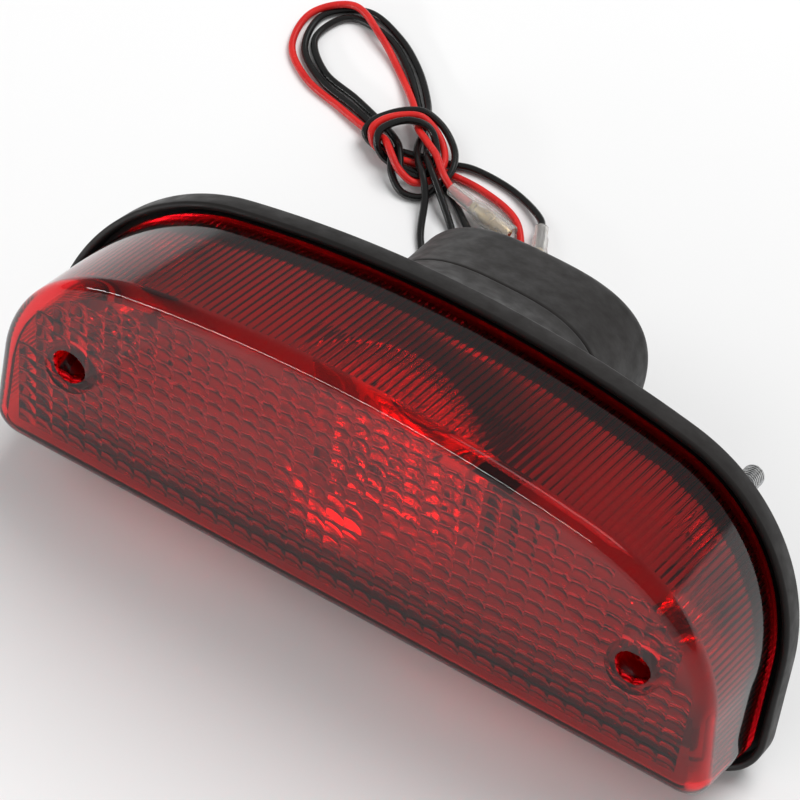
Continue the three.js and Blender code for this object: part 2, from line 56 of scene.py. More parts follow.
# ---- the lamp's own frame, from the lift-off joint and a stud's end face ----------------------------
RIGHT = Vector((1, 0, 0))
REAR = -Vector(JOINTS["lens_lift_off"]["axis"]).normalized()
UP = RIGHT.cross(REAR)
STUD_X, STUD_TIP, STUD_Z = 77.4, 30.0, 60.1
ORIGIN = Vector(MOUNTS["stud_end_right"]["pos_m"]) - MM * (STUD_X * RIGHT + STUD_TIP * REAR + STUD_Z * UP)
LAMP = Matrix.Translation(ORIGIN) @ Matrix((RIGHT, REAR, UP)).transposed().to_4x4()


def lamp_box(node):
    """Lowest and highest corner of a CAD node in the lamp's frame, in millimetres."""
    back = LAMP.inverted()
    points = [back @ vertex.co / MM for vertex in frame["nodes"][node].data.vertices]
    low = Vector(min(p[i] for p in points) for i in range(3))
    high = Vector(max(p[i] for p in points) for i in range(3))
    return low, high


# ---- driving dimensions, in millimetres --------------------------------------------------------------
LENS_LOW, LENS_HIGH = lamp_box("lens")
HEIGHT = LENS_HIGH.z
DEPTH_TOP = -LENS_LOW.y
DEPTH_BOTTOM = 27.2
LENS_BASE = LENS_HIGH.y
# The outline's sizes and the screws' places are rounded from a least-squares fit to points read one by one.
HALF_WIDTH = 105.8  # where the shoulder would meet an upright side
CROWN_R, SHOULDER_R, CORNER_R = 340.0, 50.8, 8.9
SIDE_LEAN = math.radians(6.2)
WALL, DRAFT, RIM = 2.2, 1.2, 5.0
SCREW_LOW, SCREW_HIGH = lamp_box("lens_screw_right")
SCREW_X, SCREW_Z = (SCREW_LOW.x + SCREW_HIGH.x) / 2, (SCREW_LOW.z + SCREW_HIGH.z) / 2
WELL_R, BOSS_R = 4.9, 7.0
SEAL_THICK, HEAD_HIGH, HEAD_R = 1.8, 3.4, 4.5
WELL_FLOOR = SCREW_LOW.y + SEAL_THICK + HEAD_HIGH  # the seal and the head stand on it
BOSS_END = -12.9
BOOT_TIP = lamp_box("rubber_boot")[1].y
CAP_LOW, CAP_HIGH = lamp_box("bulb_cap")
BULB_Z = (CAP_LOW.z + CAP_HIGH.z) / 2
BULB_TIP = lamp_box("bulb_glass")[0].y
CAP_FRONT, CAP_BACK = -5.0, 14.0
PILLOW, PILLOW_HIGH = 5.16, 4.75  # pitch of the optics inside the lens's face
PILLOW_BULGE, PILLOW_MARGIN = 1.3, 8.0  # their height, and how far inside the outline they stop
RIB, RIB_DEEP, RIB_START = 2.1, 0.22, 4.5  # pitch, depth and start of the ribs inside its sides


# ---- materials ----------------------------------------------------------------------------------------
class Look:
    """A Principled material with the noise, wear and bump nodes that the looks share."""

    def __init__(self, name, color, roughness, **constants):
        self.material = bpy.data.materials.new(name)
        self.material.use_nodes = True
        self.tree = self.material.node_tree
        self.shader = self.tree.nodes["Principled BSDF"]
        self.shader.inputs["Base Color"].default_value = (*color, 1)
        self.shader.inputs["Roughness"].default_value = roughness
        for key, value in constants.items():
            self.shader.inputs[key.replace("_", " ")].default_value = value
        self.place = self.node("ShaderNodeTexCoord").outputs["Object"]
        self.height = None

    def node(self, kind, **settings):
        """A new shader node with the given settings."""
        made = self.tree.nodes.new(kind)
        for key, value in settings.items():
            setattr(made, key, value)
        return made

    def link(self, source, target):
        """A link from one node's output to another's input."""
        self.tree.links.new(source, target)

    def noise(self, scale, detail=4.0):
        """Noise in the piece's own coordinates, in cycles per millimetre."""
        noise = self.node("ShaderNodeTexNoise")
        noise.inputs["Scale"].default_value = scale / MM
        noise.inputs["Detail"].default_value = detail
        self.link(self.place, noise.inputs["Vector"])
        return noise.outputs["Fac"]

    def specks(self, scale, size):
        """Sparse round spots, one near each cell's centre: 1 on a spot, 0 elsewhere."""
        cells = self.node("ShaderNodeTexVoronoi")
        cells.inputs["Scale"].default_value = scale / MM
        self.link(self.place, cells.inputs["Vector"])
        return self.spread(cells.outputs["Distance"], 0.0, size, 1.0, 0.0)

    def spread(self, value, low, high, to_low, to_high):
        """Maps low..high to to_low..to_high, held at both ends."""
        step = self.node("ShaderNodeMapRange")
        step.inputs["From Min"].default_value = low
        step.inputs["From Max"].default_value = high
        step.inputs["To Min"].default_value = to_low
        step.inputs["To Max"].default_value = to_high
        self.link(value, step.inputs["Value"])
        return step.outputs["Result"]

    def tint(self, fac, first, second):
        """Base colour that runs from the first colour to the second with fac."""
        mix = self.node("ShaderNodeMix", data_type="RGBA")
        mix.inputs["A"].default_value = (*first, 1)
        mix.inputs["B"].default_value = (*second, 1)
        self.link(fac, mix.inputs["Factor"])
        self.link(mix.outputs["Result"], self.shader.inputs["Base Color"])
        return self

    def rough(self, fac, low, high):
        """Roughness that runs from low to high with fac."""
        self.link(self.spread(fac, 0.3, 0.7, low, high), self.shader.inputs["Roughness"])
        return self

    def bump(self, height, distance, strength=1.0):
        """One more layer of bump, its full height given in millimetres."""
        bump = self.node("ShaderNodeBump")
        bump.inputs["Distance"].default_value = distance * MM
        bump.inputs["Strength"].default_value = strength
        self.link(height, bump.inputs["Height"])
        if self.height:
            self.link(self.height, bump.inputs["Normal"])
        self.height = bump.outputs["Normal"]
        self.link(self.height, self.shader.inputs["Normal"])
        return self


def lens_look():
    look = Look("lens_red", (0.8, 0.006, 0.012), 0.035, Transmission_Weight=1.0, IOR=1.42)
    cloud = look.noise(0.05, 3)
    look.tint(look.spread(cloud, 0.3, 0.7, 0, 1), (0.84, 0.006, 0.012), (0.76, 0.008, 0.014))
    look.rough(look.noise(0.4, 5), 0.02, 0.06)
    look.bump(look.noise(0.03, 2), 0.12, 0.5)
    look.bump(look.specks(0.06, 0.012), 0.02, 0.8)
    return look.material


def rubber_look():
    look = Look("rubber", (0.014, 0.0125, 0.012), 0.5, Sheen_Weight=0.02, Sheen_Roughness=0.4,
                Specular_IOR_Level=0.35)
    cloud = look.noise(0.035, 5)
    look.tint(look.spread(cloud, 0.35, 0.7, 0, 1), (0.008, 0.0068, 0.0064), (0.015, 0.0128, 0.012))
    look.rough(look.noise(0.25, 6), 0.4, 0.6)
    look.bump(look.noise(0.9, 4), 0.05, 0.5)
    look.bump(look.noise(0.06, 2), 0.5, 0.25)
    return look.material


def black_plastic_look():
    look = Look("black_plastic", (0.012, 0.012, 0.012), 0.4)
    look.tint(look.noise(0.08, 4), (0.010, 0.010, 0.010), (0.018, 0.017, 0.017))
    look.rough(look.noise(0.5, 5), 0.32, 0.5)
    look.bump(look.noise(1.2, 3), 0.03, 0.5)
    return look.material


def tray_paint_look():
    """Pale silver paint on the tray's floor, inside its wall."""
    look = Look("tray_paint", (0.34, 0.34, 0.35), 0.36, Metallic=0.6)
    look.tint(look.noise(0.06, 4), (0.31, 0.31, 0.32), (0.38, 0.38, 0.38))
    look.rough(look.noise(0.5, 5), 0.3, 0.45)
    look.bump(look.noise(1.2, 3), 0.04, 0.5)
    return look.material


def zinc_look():
    look = Look("zinc_plate", (0.60, 0.62, 0.64), 0.3, Metallic=1.0)
    look.tint(look.spread(look.noise(0.15, 5), 0.3, 0.7, 0, 1), (0.38, 0.40, 0.43), (0.58, 0.58, 0.57))
    look.rough(look.noise(0.8, 5), 0.16, 0.34)
    look.bump(look.noise(1.5, 4), 0.02, 0.5)
    return look.material


def mirror_look():
    look = Look("bright_dish", (0.86, 0.87, 0.88), 0.08, Metallic=1.0)
    look.rough(look.noise(0.2, 4), 0.06, 0.16)
    look.bump(look.noise(0.12, 2), 0.1, 0.4)
    return look.material


def brass_look():
    look = Look("brass", (0.72, 0.54, 0.26), 0.32, Metallic=1.0)
    look.tint(look.spread(look.noise(0.2, 5), 0.35, 0.7, 0, 1), (0.78, 0.60, 0.30), (0.55, 0.40, 0.20))
    look.rough(look.noise(0.6, 5), 0.22, 0.45)
    look.bump(look.noise(1.1, 3), 0.02, 0.5)
    return look.material


def solder_look():
    look = Look("solder", (0.52, 0.52, 0.54), 0.35, Metallic=1.0)
    look.rough(look.noise(1.2, 4), 0.25, 0.5)
    look.bump(look.noise(1.0, 3), 0.06, 0.6)
    return look.material


def glass_look():
    look = Look("bulb_glass", (0.97, 0.985, 0.98), 0.01, Transmission_Weight=1.0, IOR=1.5)
    look.rough(look.noise(0.2, 3), 0.0, 0.03)
    look.bump(look.noise(0.05, 2), 0.15, 0.5)
    return look.material


def tungsten_look():
    look = Look("tungsten", (0.22, 0.22, 0.23), 0.38, Metallic=1.0)
    look.rough(look.noise(3.0, 3), 0.28, 0.5)
    look.bump(look.noise(4.0, 2), 0.01, 0.5)
    return look.material


def pvc_look(name, dark, light):
    look = Look(name, dark, 0.32)
    look.tint(look.spread(look.noise(0.12, 4), 0.3, 0.7, 0, 1), dark, light)
    look.rough(look.noise(0.5, 5), 0.16, 0.3)
    look.bump(look.noise(0.5, 3), 0.05, 0.4)
    return look.material


def sleeve_look():
    look = Look("sleeve_clear", (0.9, 0.89, 0.87), 0.25, Transmission_Weight=0.82, IOR=1.35)
    look.tint(look.spread(look.noise(0.3, 4), 0.3, 0.7, 0, 1), (0.93, 0.92, 0.90), (0.86, 0.84, 0.81))
    look.rough(look.noise(0.3, 4), 0.12, 0.26)
    look.bump(look.noise(0.12, 2), 0.1, 0.4)
    return look.material


def floor_look():
    look = Look("floor", (0.86, 0.86, 0.86), 0.75)
    look.tint(look.noise(0.004, 3), (0.85, 0.85, 0.85), (0.88, 0.88, 0.88))
    return look.material


LENS_RED = lens_look()
RUBBER = rubber_look()
BLACK_PLASTIC = black_plastic_look()
TRAY_PAINT = tray_paint_look()
ZINC = zinc_look()
MIRROR = mirror_look()
BRASS = brass_look()
SOLDER = solder_look()
GLASS = glass_look()
TUNGSTEN = tungsten_look()
RED_PVC = pvc_look("red_pvc", (0.55, 0.012, 0.012), (0.70, 0.025, 0.02))
BLACK_PVC = pvc_look("black_pvc", (0.005, 0.005, 0.005), (0.009, 0.0088, 0.0085))
SLEEVE = sleeve_look()


# ---- mesh helpers, in lamp millimetres --------------------------------------------------------------
def mesh_object(name, points, faces, place=LAMP):
    """A mesh object from points in millimetres of the frame that place gives."""
    mesh = bpy.data.meshes.new(name)
    mesh.from_pydata([Vector(p) * MM for p in points], [], faces)
    mesh.validate()
    made = bpy.data.objects.new(name, mesh)
    bpy.context.scene.collection.objects.link(made)
    made.matrix_world = place
    return made


def finish_piece(piece, material, body, nodes=(), crease=35):
    """Smooth shading up to a crease angle, a material, the body it rides on and the nodes it stands for."""
    piece.data.transform(piece.matrix_world)  # into the row frame, so its box lies along the axes
    piece.matrix_world = Matrix.Identity(4)
    piece.data.polygons.foreach_set("use_smooth", [True] * len(piece.data.polygons))
    piece.data.set_sharp_from_angle(angle=math.radians(crease))
    piece.data.materials.clear()
    piece.data.materials.append(material)
    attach(piece, body)
    if nodes:
        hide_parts(*nodes)
    return piece


def loft_faces(count, rings, closed=False):
    """Faces between rings of count points each, with flat ends, or the last ring joined to the first."""
    faces = []
    for k in range(rings if closed else rings - 1):
        a, b = k * count, ((k + 1) % rings) * count
        faces += [(a + i, a + (i + 1) % count, b + (i + 1) % count, b + i) for i in range(count)]
    if not closed:
        faces.append(tuple(reversed(range(count))))
        faces.append(tuple((rings - 1) * count + i for i in range(count)))
    return faces


def lofted(name, rings, closed=False, place=LAMP):
    """A lofted body; its rings run to the front, anticlockwise as seen from the front."""
    points = [p for ring in rings for p in ring]
    return mesh_object(name, points, loft_faces(len(rings[0]), len(rings), closed), place)


def turned(name, profile, x=0.0, z=0.0, closed=False, sides=96, place=LAMP):
    """A body turned about the line (x, z) along Y; the profile lists (radius, y), axis points included."""
    rings = []
    for radius, y in profile:
        rings.append([
            (x + max(radius, AXIS_R) * math.cos(2 * math.pi * i / sides), y,
             z + max(radius, AXIS_R) * math.sin(2 * math.pi * i / sides)) for i in range(sides)])
    return lofted(name, rings, closed, place)


def combined(first, second, operation):
    """Boolean of two closed bodies; the second is used up."""
    modifier = first.modifiers.new("cut", "BOOLEAN")
    modifier.operation = operation
    modifier.solver = "MANIFOLD"
    modifier.object = second
    bpy.context.view_layer.update()
    done = bpy.data.meshes.new_from_object(first.evaluated_get(bpy.context.evaluated_depsgraph_get()))
    first.modifiers.clear()
    old = first.data
    first.data = done
    bpy.data.meshes.remove(old)
    bpy.data.objects.remove(second)
    return first


def outward(piece):
    """Turns all faces of a closed body outwards."""
    work = bmesh.new()
    work.from_mesh(piece.data)
    bmesh.ops.recalc_face_normals(work, faces=work.faces)
    work.to_mesh(piece.data)
    work.free()
    return piece


# ---- outlines ------------------------------------------------------------------------------------------
SHOULDER_X = HALF_WIDTH - SHOULDER_R
SHOULDER_Z = HEIGHT - CROWN_R + math.sqrt((CROWN_R - SHOULDER_R) ** 2 - SHOULDER_X ** 2)
SIDE_STEP = math.sin(SIDE_LEAN) * (SHOULDER_Z - CORNER_R) + SHOULDER_R - CORNER_R
CORNER_X = SHOULDER_X + SIDE_STEP / math.cos(SIDE_LEAN)


def arc(x, z, radius, start, end, step):
    """Points on an arc about step apart, both ends included."""
    count = max(2, round(radius * abs(end - start) / step))
    turns = [start + (end - start) * i / count for i in range(count + 1)]
    return [(x + radius * math.cos(t), z + radius * math.sin(t)) for t in turns]


def half_moon_line(step):
    """The lens's outline, anticlockwise from the lower right: points, outward normals and lengths so far."""
    crown = math.atan2(SHOULDER_Z - HEIGHT + CROWN_R, SHOULDER_X)
    right = arc(CORNER_X, CORNER_R, CORNER_R, -math.pi / 2, SIDE_LEAN, step / 2)
    side_end = (SHOULDER_X + SHOULDER_R * math.cos(SIDE_LEAN), SHOULDER_Z + SHOULDER_R * math.sin(SIDE_LEAN))
    pieces = max(2, round(math.dist(right[-1], side_end) / step))
    foot = np.array(right[-1])
    right += [tuple(foot + (np.array(side_end) - foot) * i / pieces) for i in range(1, pieces)]
    right += arc(SHOULDER_X, SHOULDER_Z, SHOULDER_R, SIDE_LEAN, crown, step)
    right += arc(0, HEIGHT - CROWN_R, CROWN_R, crown, math.pi / 2, step)[1:]
    left = [(-x, z) for x, z in reversed(right[:-1])]
    line = right + left
    bottom = max(2, round(2 * CORNER_X / step))
    line += [(-CORNER_X + 2 * CORNER_X * i / bottom, 0.0) for i in range(1, bottom)]
    points = np.array(line)
    ahead, behind = np.roll(points, -1, axis=0), np.roll(points, 1, axis=0)
    along = ahead - behind
    along /= np.linalg.norm(along, axis=1)[:, None]
    length = np.concatenate([[0], np.cumsum(np.linalg.norm(np.diff(points, axis=0), axis=1))])
    return points, np.stack([along[:, 1], -along[:, 0]], axis=1), length


def face_depth(z):
    """Y of the lens's sloping front face at a height."""
    return -(DEPTH_BOTTOM + (DEPTH_TOP - DEPTH_BOTTOM) * z / HEIGHT)


def ring_of(line, inset, depth):
    """The outline moved inwards by inset, one value or one a point, at a depth or a depth by height."""
    points, normal, _ = line
    moved = points - normal * np.reshape(inset, (-1, 1))
    at = depth if callable(depth) else (lambda z: depth)
    return [(x, at(z), z) for x, z in moved]


# ---- the lens ----------------------------------------------------------------------------------------
def depth_inside(line, x, z):
    """How far a point lies inside the outline."""
    points, normal, _ = line
    gap = np.array([x, z]) - points
    near = int(np.argmin(np.einsum("ij,ij->i", gap, gap)))
    return float(-gap[near] @ normal[near])


def lens_shell(name, line, inset, ribs, rim, base, offset, steps):
    """Closed body with the lens's outline: straight drafted sides, a rounded rim and a sloping face."""
    side_end = ring_of(line, inset + ribs + DRAFT, lambda z: face_depth(z) + offset + rim)
    start = base - RIB_START  # the ribs begin a little in front of the base
    early = inset + DRAFT * 0.12
    rings = [ring_of(line, inset, base), ring_of(line, early, start)]
    rings += [ring_of(line, early + ribs, start - 0.3), side_end]
    for i in range(steps + 1):
        turn = math.pi / 2 * i / steps
        in_by = inset + DRAFT + rim * (1 - math.cos(turn))
        step_in = offset + rim * (1 - math.sin(turn))
        rings.append(ring_of(line, in_by, lambda z, y=step_in: face_depth(z) + y))
    if not np.any(ribs):
        del rings[1:4]
    return outward(lofted(name, rings))


def pillow_height(x, z, inside):
    """How far the face's optics bulge inwards at a point: a dome in each cell that lies well inside."""
    column, row = math.floor(x / PILLOW), math.floor(z / PILLOW_HIGH)
    if not inside(column, row):
        return 0.0
    u = 2 * (x / PILLOW - column) - 1
    v = 2 * (z / PILLOW_HIGH - row) - 1
    return PILLOW_BULGE * (1 - 0.5 * (u * u + v * v))


def pillow_block(name, line):
    """A block whose front is a field of pillow optics, and which fills the lens's inside behind them."""
    known = {}

    def inside(column, row):
        if (column, row) not in known:
            deep = depth_inside(line, (column + 0.5) * PILLOW, (row + 0.5) * PILLOW_HIGH)
            known[column, row] = deep > PILLOW_MARGIN
        return known[column, row]

    parts = 9  # grid steps across a cell, with one narrow step across each valley
    steps = [k / parts for k in range(parts)] + [1 - 0.02]
    xs = [(c + t) * PILLOW for c in range(-22, 22) for t in steps]
    zs = [(r + t) * PILLOW_HIGH for r in range(-1, 18) for t in steps]
    front, faces = [], []
    for z in zs:
        for x in xs:
            front.append((x, face_depth(z) + WALL - 0.4 + pillow_height(x, z, inside), z))
    across, up = len(xs), len(zs)
    for j in range(up - 1):
        row = j * across
        faces += [(row + i, row + i + 1, row + across + i + 1, row + across + i) for i in range(across - 1)]
    rim = list(range(across))
    rim += [j * across + across - 1 for j in range(1, up)]
    rim += [(up - 1) * across + i for i in range(across - 2, -1, -1)]
    rim += [j * across for j in range(up - 2, 0, -1)]
    start, count = len(front), len(rim)
    back = [(front[i][0], 6.0, front[i][2]) for i in rim]
    faces += [(rim[(k + 1) % count], rim[k], start + k, start + (k + 1) % count) for k in range(count)]
    faces.append(tuple(start + k for k in reversed(range(count))))
    return outward(mesh_object(name, front + back, faces))


def lens():
    """The red moulding: a shell with ribs and pillow optics inside, screw bosses, wells and shank holes."""
    smooth = half_moon_line(1.2)
    ribbed = half_moon_line(RIB / 8)
    _, normal, length = ribbed
    wave = (length / RIB) % 1
    sides_only = np.clip(normal[:, 1] + 0.6, 0, 1)  # the lower edge and its corners carry no ribs
    ribs = RIB_DEEP * (4 * wave * (1 - wave) - 1) * sides_only
    hollow = lens_shell("hollow", ribbed, WALL, ribs, 5.2, 0.6, WALL - 1.0, 8)
    hollow = combined(hollow, pillow_block("pillows", smooth), "INTERSECT")
    shell = lens_shell("lens_moulding", smooth, 0.0, 0.0, RIM, LENS_BASE, 0.0, 12)
    shell = combined(shell, hollow, "DIFFERENCE")
    for side in (-1, 1):
        x = side * SCREW_X
        front = face_depth(SCREW_Z) + 0.6
        profile = [(0, BOSS_END), (BOSS_R, BOSS_END), (BOSS_R + 0.8, front), (0, front)]
        boss = turned("boss", profile, x, SCREW_Z)
        shell = combined(shell, outward(boss), "UNION")
        lip = face_depth(SCREW_Z)
        well = turned("well", [(0, WELL_FLOOR), (WELL_R - 0.5, WELL_FLOOR), (WELL_R, WELL_FLOOR - 0.5),
                               (WELL_R, lip - 8), (0, lip - 8)], x, SCREW_Z)
        shell = combined(shell, outward(well), "DIFFERENCE")
        shank = turned("shank", [(0, 1), (3.0, 1), (3.0, WELL_FLOOR - 2), (0, WELL_FLOOR - 2)], x, SCREW_Z)
        shell = combined(shell, outward(shank), "DIFFERENCE")
    return finish_piece(shell, LENS_RED, "lens", ["lens"], crease=24)


# ---- threads, studs and lens screws ---------------------------------------------------------------------
def threaded(name, x, z, radius, pitch, back, tip, chamfer, depth):
    """A threaded shank along Y from back to its chamfered tip, with flat ends."""
    sides, steps = 40, round(abs(tip - back) / pitch * 10)
    way = 1 if tip > back else -1
    rings = []
    for k in range(steps + 1):
        y = back + (tip - back) * k / steps
        limit = radius - max(0.0, chamfer - abs(tip - y))
        ring = []
        for i in range(sides):
            share = (abs(y - back) / pitch - way * i / sides) % 1
            groove = depth * min(1.0, 2.2 * abs(2 * share - 1))
            r = min(limit, radius - depth + groove)
            turn = 2 * math.pi * i / sides
            ring.append((x + r * math.cos(turn), y, z + r * math.sin(turn)))
        rings.append(ring)
    return outward(lofted(name, rings))


def stud(side):
    """A threaded mounting stud with a hexagonal head in the tray."""
    name = "left" if side < 0 else "right"
    shank = threaded(f"stud_thread_{name}", side * STUD_X, STUD_Z, 3.0, 1.0, -1.5, STUD_TIP, 0.9, 0.55)
    profile = [(0, -6), (4.05, -6), (4.6, -5.5), (4.6, -2), (0, -2)]
    head = turned("head", profile, side * STUD_X, STUD_Z, sides=6)
    shank = combined(shank, outward(head), "UNION")
    return finish_piece(shank, ZINC, "tray", [f"stud_{name}"], crease=30)


def lens_screw(side):
    """A cross-head lens screw: a domed head with two crossed slots, on a threaded shank."""
    name = "left" if side < 0 else "right"
    x = side * SCREW_X
    seat = WELL_FLOOR - SEAL_THICK
    crown = seat - HEAD_HIGH
    straight = 0.8  # height of the head's upright edge
    dome = HEAD_HIGH - straight
    profile = [(0, seat), (HEAD_R - 0.15, seat), (HEAD_R, seat - 0.2), (HEAD_R, seat - straight)]
    for t in np.linspace(0.12, 1.5, 10):
        profile.append((HEAD_R * math.cos(t), seat - straight - dome * math.sin(t)))
    profile.append((0, crown))
    head = outward(turned("head", profile, x, SCREW_Z, sides=64))
    for turn in (math.pi / 4, 3 * math.pi / 4):
        corners = []
        for y, half, thick in ((seat - 0.9, 0.5, 0.35), (crown - 0.3, 2.7, 0.62)):
            for u, v in ((-half, -thick), (half, -thick), (half, thick), (-half, thick)):
                corners.append((x + u * math.cos(turn) - v * math.sin(turn), y,
                                SCREW_Z + u * math.sin(turn) + v * math.cos(turn)))
        slot = mesh_object("slot", corners, loft_faces(4, 2))
        head = combined(head, outward(slot), "DIFFERENCE")
    shank = threaded("shank", x, SCREW_Z, 2.5, 0.8, seat + 0.05, SCREW_HIGH.y, 0.6, 0.42)
    head = combined(head, shank, "UNION")
    head.name = f"lens_screw_made_{name}"
    return finish_piece(head, ZINC, f"screw_{name}", [f"lens_screw_{name}"], crease=28)


# ---- the rubber gasket, its boot and nozzle ---------------------------------------------------------------
# The power, the back, the rim and the tops of the two rear stations are rounded from a least-squares fit
# to the boot's outline; the other numbers were given.
BOOT_STATIONS = np.array([  # depth, half width, top and bottom of the boot's section
    [3.3, 42, 85, 6], [5.3, 41, 84.6, 6.5], [13, 36.5, 80.6, 11],
    [24, 34.8, 78.8, 14], [52.5, 36, 77.3, 21.6]])
BOOT_POWER = 2.9
BOOT_BACK, BOOT_RIM = 57.5, 5.0
NOZZLE_X, NOZZLE_Z = -9.0, 35.0
CREASE = 26.0  # where a faint moulding line runs round the boot


def boot_section(y, angles, shrink=0.0):
    """The boot's superellipse at a depth, at the given angles, with smooth changes between the stations."""
    at = BOOT_STATIONS[:, 0]
    half, top, bottom = (smooth_between(y, at, BOOT_STATIONS[:, i]) for i in (1, 2, 3))
    a, b = half - shrink, (top - bottom) / 2 - shrink
    across, up = np.cos(angles), np.sin(angles)
    reach = (np.abs(across / a) ** BOOT_POWER + np.abs(up / b) ** BOOT_POWER) ** (-1 / BOOT_POWER)
    return [(reach[i] * across[i], y, (top + bottom) / 2 + reach[i] * up[i]) for i in range(len(angles))]


def smooth_between(y, at, values):
    """A curve through the stations that never overshoots (monotone cubic)."""
    slopes = np.diff(values) / np.diff(at)
    harmonic = 2 * slopes[1:] * slopes[:-1] / (slopes[1:] + slopes[:-1] + 1e-12)
    between = np.where(slopes[1:] * slopes[:-1] > 0, harmonic, 0)
    ends = np.concatenate([[slopes[0]], between, [slopes[-1]]])
    k = int(np.clip(np.searchsorted(at, y) - 1, 0, len(slopes) - 1))
    width = at[k + 1] - at[k]
    t = min(max((y - at[k]) / width, 0.0), 1.0)
    return (values[k] * (1 + 2 * t) * (1 - t) ** 2 + values[k + 1] * t * t * (3 - 2 * t)
            + width * (ends[k] * t * (1 - t) ** 2 - ends[k + 1] * t * t * (1 - t)))


def gasket_and_boot():
    """The gasket with its lip round the lens, and the boot on its back, open where the leads come out."""
    line = half_moon_line(1.1)
    points = line[0]
    angles = np.arctan2(points[:, 1] - HEIGHT * 0.55, points[:, 0])
    out, lip, lip_front, back = 3.7, 1.6, -2.8, 5.3
    rings = [ring_of(line, 3.0, 3.3), ring_of(line, -lip + 0.3, 3.3), ring_of(line, -lip, 3.0),
             ring_of(line, -lip, lip_front + 0.9)]
    middle, radius = (out + lip) / 2, (out - lip) / 2
    for turn in np.linspace(0, math.pi, 9):  # the lip's rounded front edge
        y = lip_front + 0.9 - 0.9 * math.sin(turn)
        rings.append(ring_of(line, -middle + radius * math.cos(turn), y))
    for turn in np.linspace(0, math.pi / 2, 7):  # the rounded back edge
        rings.append(ring_of(line, -out + 1.3 * (1 - math.cos(turn)), back - 1.3 + 1.3 * math.sin(turn)))
    foot = boot_section(back + 0.1, angles)
    edge = rings[-1]
    for share in (0.5, 0.85, 0.97):
        rings.append([tuple(np.array(e) * (1 - share) + np.array(f) * share) for e, f in zip(edge, foot)])
    depths = np.concatenate([np.linspace(back + 0.1, 24, 24), np.linspace(24.8, CREASE - 0.5, 3),
                             [CREASE - 0.25, CREASE, CREASE + 0.25],
                             np.linspace(CREASE + 0.5, BOOT_BACK - BOOT_RIM, 30)])
    for y in depths:
        groove = 0.28 * max(0.0, 1 - abs(y - CREASE) / 0.5)
        rings.append(boot_section(y, angles, groove))
    for turn in np.linspace(0, math.pi / 2, 11)[1:]:
        y = BOOT_BACK - BOOT_RIM
        ring = boot_section(y, angles, BOOT_RIM * (1 - math.cos(turn)))
        rings.append([(x, y + BOOT_RIM * math.sin(turn), z) for x, _, z in ring])
    body = lofted("rubber_gasket_boot", rings)
    hole = turned("hole", [(0, 50), (3.9, 50), (3.9, 70), (0, 70)], NOZZLE_X, NOZZLE_Z)
    body = combined(outward(body), outward(hole), "DIFFERENCE")
    return finish_piece(body, RUBBER, "tray", ["rubber_boot"], crease=50)


def nozzle():
    """Tapered outlet of the leads, with shallow rings round it, open through its middle."""
    tip = BOOT_TIP
    profile = [(3.8, BOOT_BACK - 3), (9.5, BOOT_BACK - 0.4), (8.6, BOOT_BACK + 0.4), (7.6, BOOT_BACK + 1.4)]
    for k in range(3):
        y = BOOT_BACK + 2.0 + 2.1 * k
        r = 7.1 - 0.45 * k
        profile += [(r - 0.5, y), (r, y + 0.5), (r, y + 1.1), (r - 0.5, y + 1.6)]
    profile += [(5.3, tip - 0.6), (5.0, tip - 0.1), (4.3, tip), (3.8, tip - 0.4)]
    piece = turned("boot_nozzle", profile, NOZZLE_X, NOZZLE_Z, closed=True)
    return finish_piece(outward(piece), RUBBER, "tray", crease=45)


# ---- dish, bulb and holder ------------------------------------------------------------------------------
def dish():
    """The bright reflector: a parabolic bowl round the bulb, with a flat ring at its hole."""
    low, high = lamp_box("reflector")
    hole, rim = 9.6, high.x - 0.5
    flat = hole + 4
    curve = [(hole, high.y - 1.2), (flat, high.y - 1.2)]
    for share in np.linspace(0, 1, 24)[1:]:
        curve.append((flat + (rim - flat) * share, high.y - 1.2 - (high.y - 1.2 - low.y) * share ** 2))
    back = [(r + 0.45, y + 1.1) for r, y in reversed(curve[2:])]
    profile = curve + [(rim + 0.5, low.y + 0.3)] + back + [(flat, high.y), (hole, high.y)]
    piece = turned("bright_dish", profile, 0, BULB_Z, closed=True, sides=128)
    return finish_piece(outward(piece), MIRROR, "tray", ["reflector"], crease=40)


def bulb_envelope():
    """The bulb's glass: a round envelope that narrows smoothly to its neck."""
    radius, neck = 12.8, 6.8
    centre = BULB_TIP + radius
    profile = [(neck, CAP_FRONT - 0.3), (neck, CAP_FRONT - 2)]
    start = 0.86  # angle at which the round begins, in radians
    shoulder = (radius * math.cos(start), centre + radius * math.sin(start))
    for share in np.linspace(0, 1, 9)[1:-1]:  # the neck swells smoothly into the round
        ease = share * share * (3 - 2 * share)
        y = CAP_FRONT - 2 + (shoulder[1] - CAP_FRONT + 2) * share
        profile.append((neck + (shoulder[0] - neck) * ease, y))
    turns = np.linspace(start, -math.pi / 2, 26)
    profile += [(radius * math.cos(t), centre + radius * math.sin(t)) for t in turns]
    inner = [(max(r - 0.7, 0.0), y + (0.7 if r < 6 and y < centre else 0.0)) for r, y in reversed(profile)]
    inner[0] = (0.0, BULB_TIP + 0.7)
    piece = turned("bulb_envelope", profile + inner, 0, BULB_Z, closed=True, sides=72)
    return finish_piece(outward(piece), GLASS, "bulb", ["bulb_glass"], crease=60)


